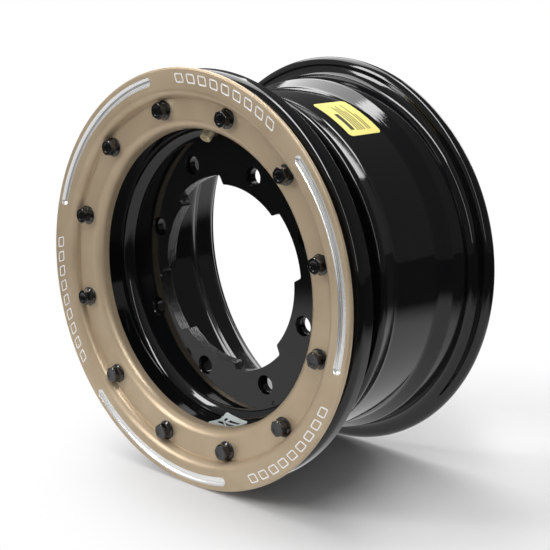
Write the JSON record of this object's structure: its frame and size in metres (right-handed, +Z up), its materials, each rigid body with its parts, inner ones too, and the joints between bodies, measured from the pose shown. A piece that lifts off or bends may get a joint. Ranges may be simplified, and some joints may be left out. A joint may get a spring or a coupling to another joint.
{
  "type": "beadlock wheel",
  "caption": "Beadlock wheel for a small off-road vehicle: a dished black wheel with a bolted clamp ring that pins the tyre bead, a drop-centre barrel and a snap-in valve.",
  "frame": {"origin": "centre of the wide lug circle on the hub face, which is the wheel's mounting face", "axes": "+Y along the wheel's axis towards the vehicle, clamp ring towards -Y, +Z up with the valve near the top"},
  "size_m": [0.2794, 0.1496, 0.2794],
  "materials": {
    "ring_metal": "champagne anodised, satin",
    "black_coat": "gloss powder coat",
    "bolt_steel": "black coated, glossy",
    "valve_rubber": "matte",
    "valve_brass": "turned",
    "yellow_label": "satin film",
    "silver_label": "satin film"
  },
  "bodies": {
    "wheel": {"clamp_ring": "ring_metal", "bead_ring": "black_coat", "outer_shell": "black_coat", "inner_shell": "black_coat", "ring_weld": "black_coat", "well_weld": "black_coat", "valve_grommet": "valve_rubber", "valve_stem": "valve_brass", "valve_core": "valve_brass", "drop_label": "yellow_label", "bowl_label": "silver_label", "clamp_bolt_01": "bolt_steel", "clamp_bolt_02": "bolt_steel", "clamp_bolt_03": "bolt_steel", "clamp_bolt_04": "bolt_steel", "clamp_bolt_05": "bolt_steel", "clamp_bolt_06": "bolt_steel", "clamp_bolt_07": "bolt_steel", "clamp_bolt_08": "bolt_steel", "clamp_bolt_09": "bolt_steel", "clamp_bolt_10": "bolt_steel", "clamp_bolt_11": "bolt_steel", "clamp_bolt_12": "bolt_steel"},
    "core_pin": {"valve_pin": "valve_brass"}
  },
  "joints": [
    {"name": "pin_press", "type": "slide", "parent": "wheel", "child": "core_pin", "axis": [-0.0862, 0.7071, 0.7018], "range_m": [0, 0.0012], "stiffness_N_per_m": 1000, "springref_m": -0.001}
  ]
}
